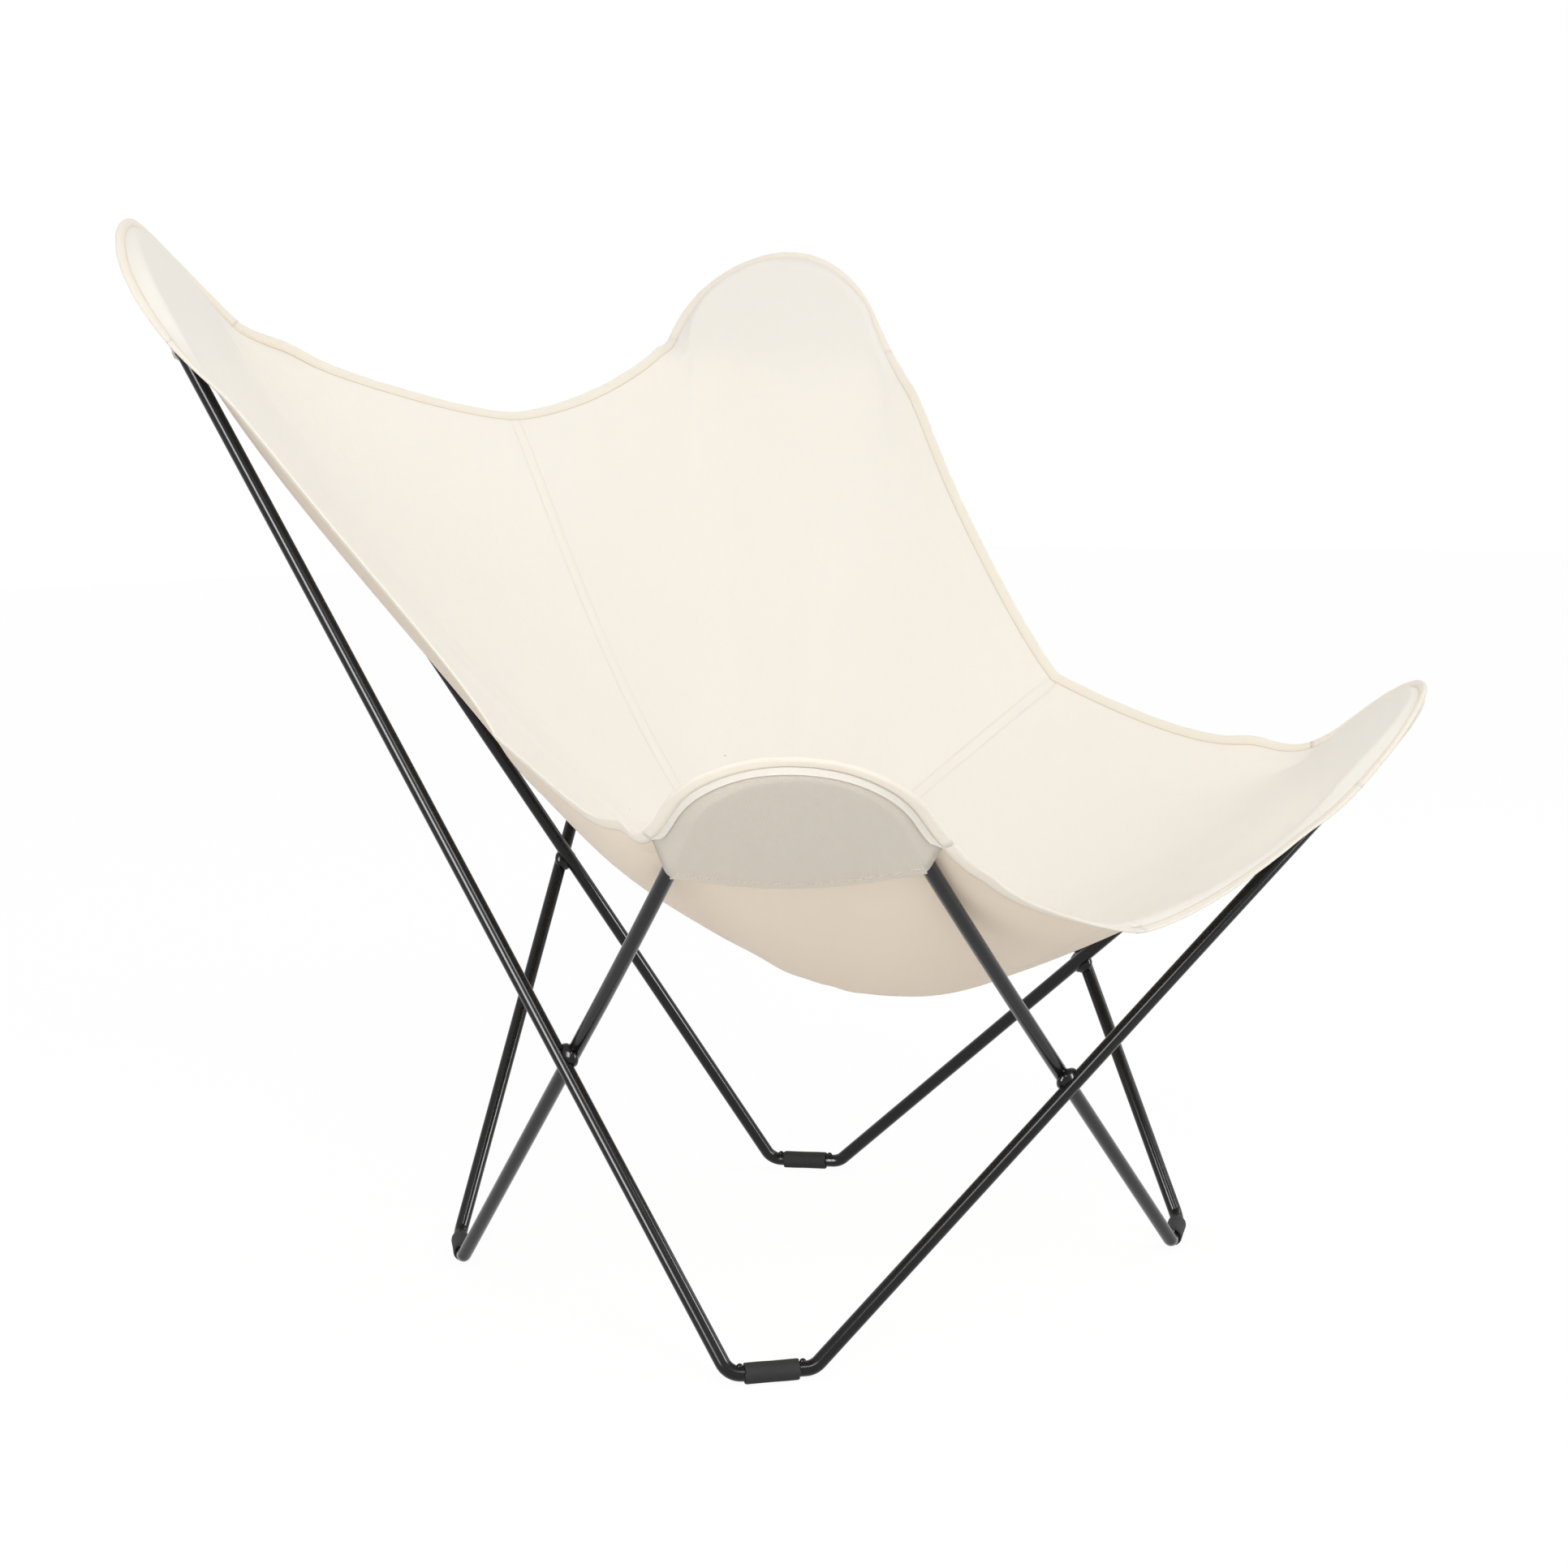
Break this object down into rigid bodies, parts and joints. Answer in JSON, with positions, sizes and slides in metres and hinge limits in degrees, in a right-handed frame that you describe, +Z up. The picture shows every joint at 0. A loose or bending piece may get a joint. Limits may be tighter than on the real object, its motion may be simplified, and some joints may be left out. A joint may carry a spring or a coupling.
{
  "type": "butterfly sling chair",
  "caption": "Low lounge chair: two bent rod loops welded where they cross, carrying a canvas sling that slips over their lobes by its corner pockets.",
  "frame": {"origin": "on the floor, under the middle of the chair's outline", "axes": "+Z up; the sitter faces -Y; +X is at the right of someone who looks at the chair's front"},
  "size_m": [0.8762, 0.893, 0.9159],
  "materials": {
    "rod": "gloss black enamel over steel rod",
    "sleeve": "matte dark rubber",
    "canvas": "natural cotton canvas, plain weave",
    "binding": "folded cotton binding tape, stitched"
  },
  "bodies": {
    "root": {"high_rod_left": "rod", "low_rod_left": "rod", "high_rod_right": "rod", "low_rod_right": "rod", "front_weld": "rod", "back_weld": "rod", "left_weld": "rod", "right_weld": "rod", "front_left_foot_sleeve": "sleeve", "back_left_foot_sleeve": "sleeve", "front_right_foot_sleeve": "sleeve", "back_right_foot_sleeve": "sleeve", "high_left_panel": "canvas", "high_right_panel": "canvas", "low_left_panel": "canvas", "low_right_panel": "canvas", "high_left_pocket": "canvas", "high_right_pocket": "canvas", "low_left_pocket": "canvas", "low_right_pocket": "canvas", "high_left_lobe_binding": "binding", "high_right_lobe_binding": "binding", "low_left_lobe_binding": "binding", "low_right_lobe_binding": "binding", "back_edge_binding": "binding", "front_edge_binding": "binding", "left_edge_binding": "binding", "right_edge_binding": "binding", "back_seam_tape": "binding", "front_seam_tape": "binding", "left_seam_tape": "binding", "right_seam_tape": "binding"}
  },
  "joints": []
}
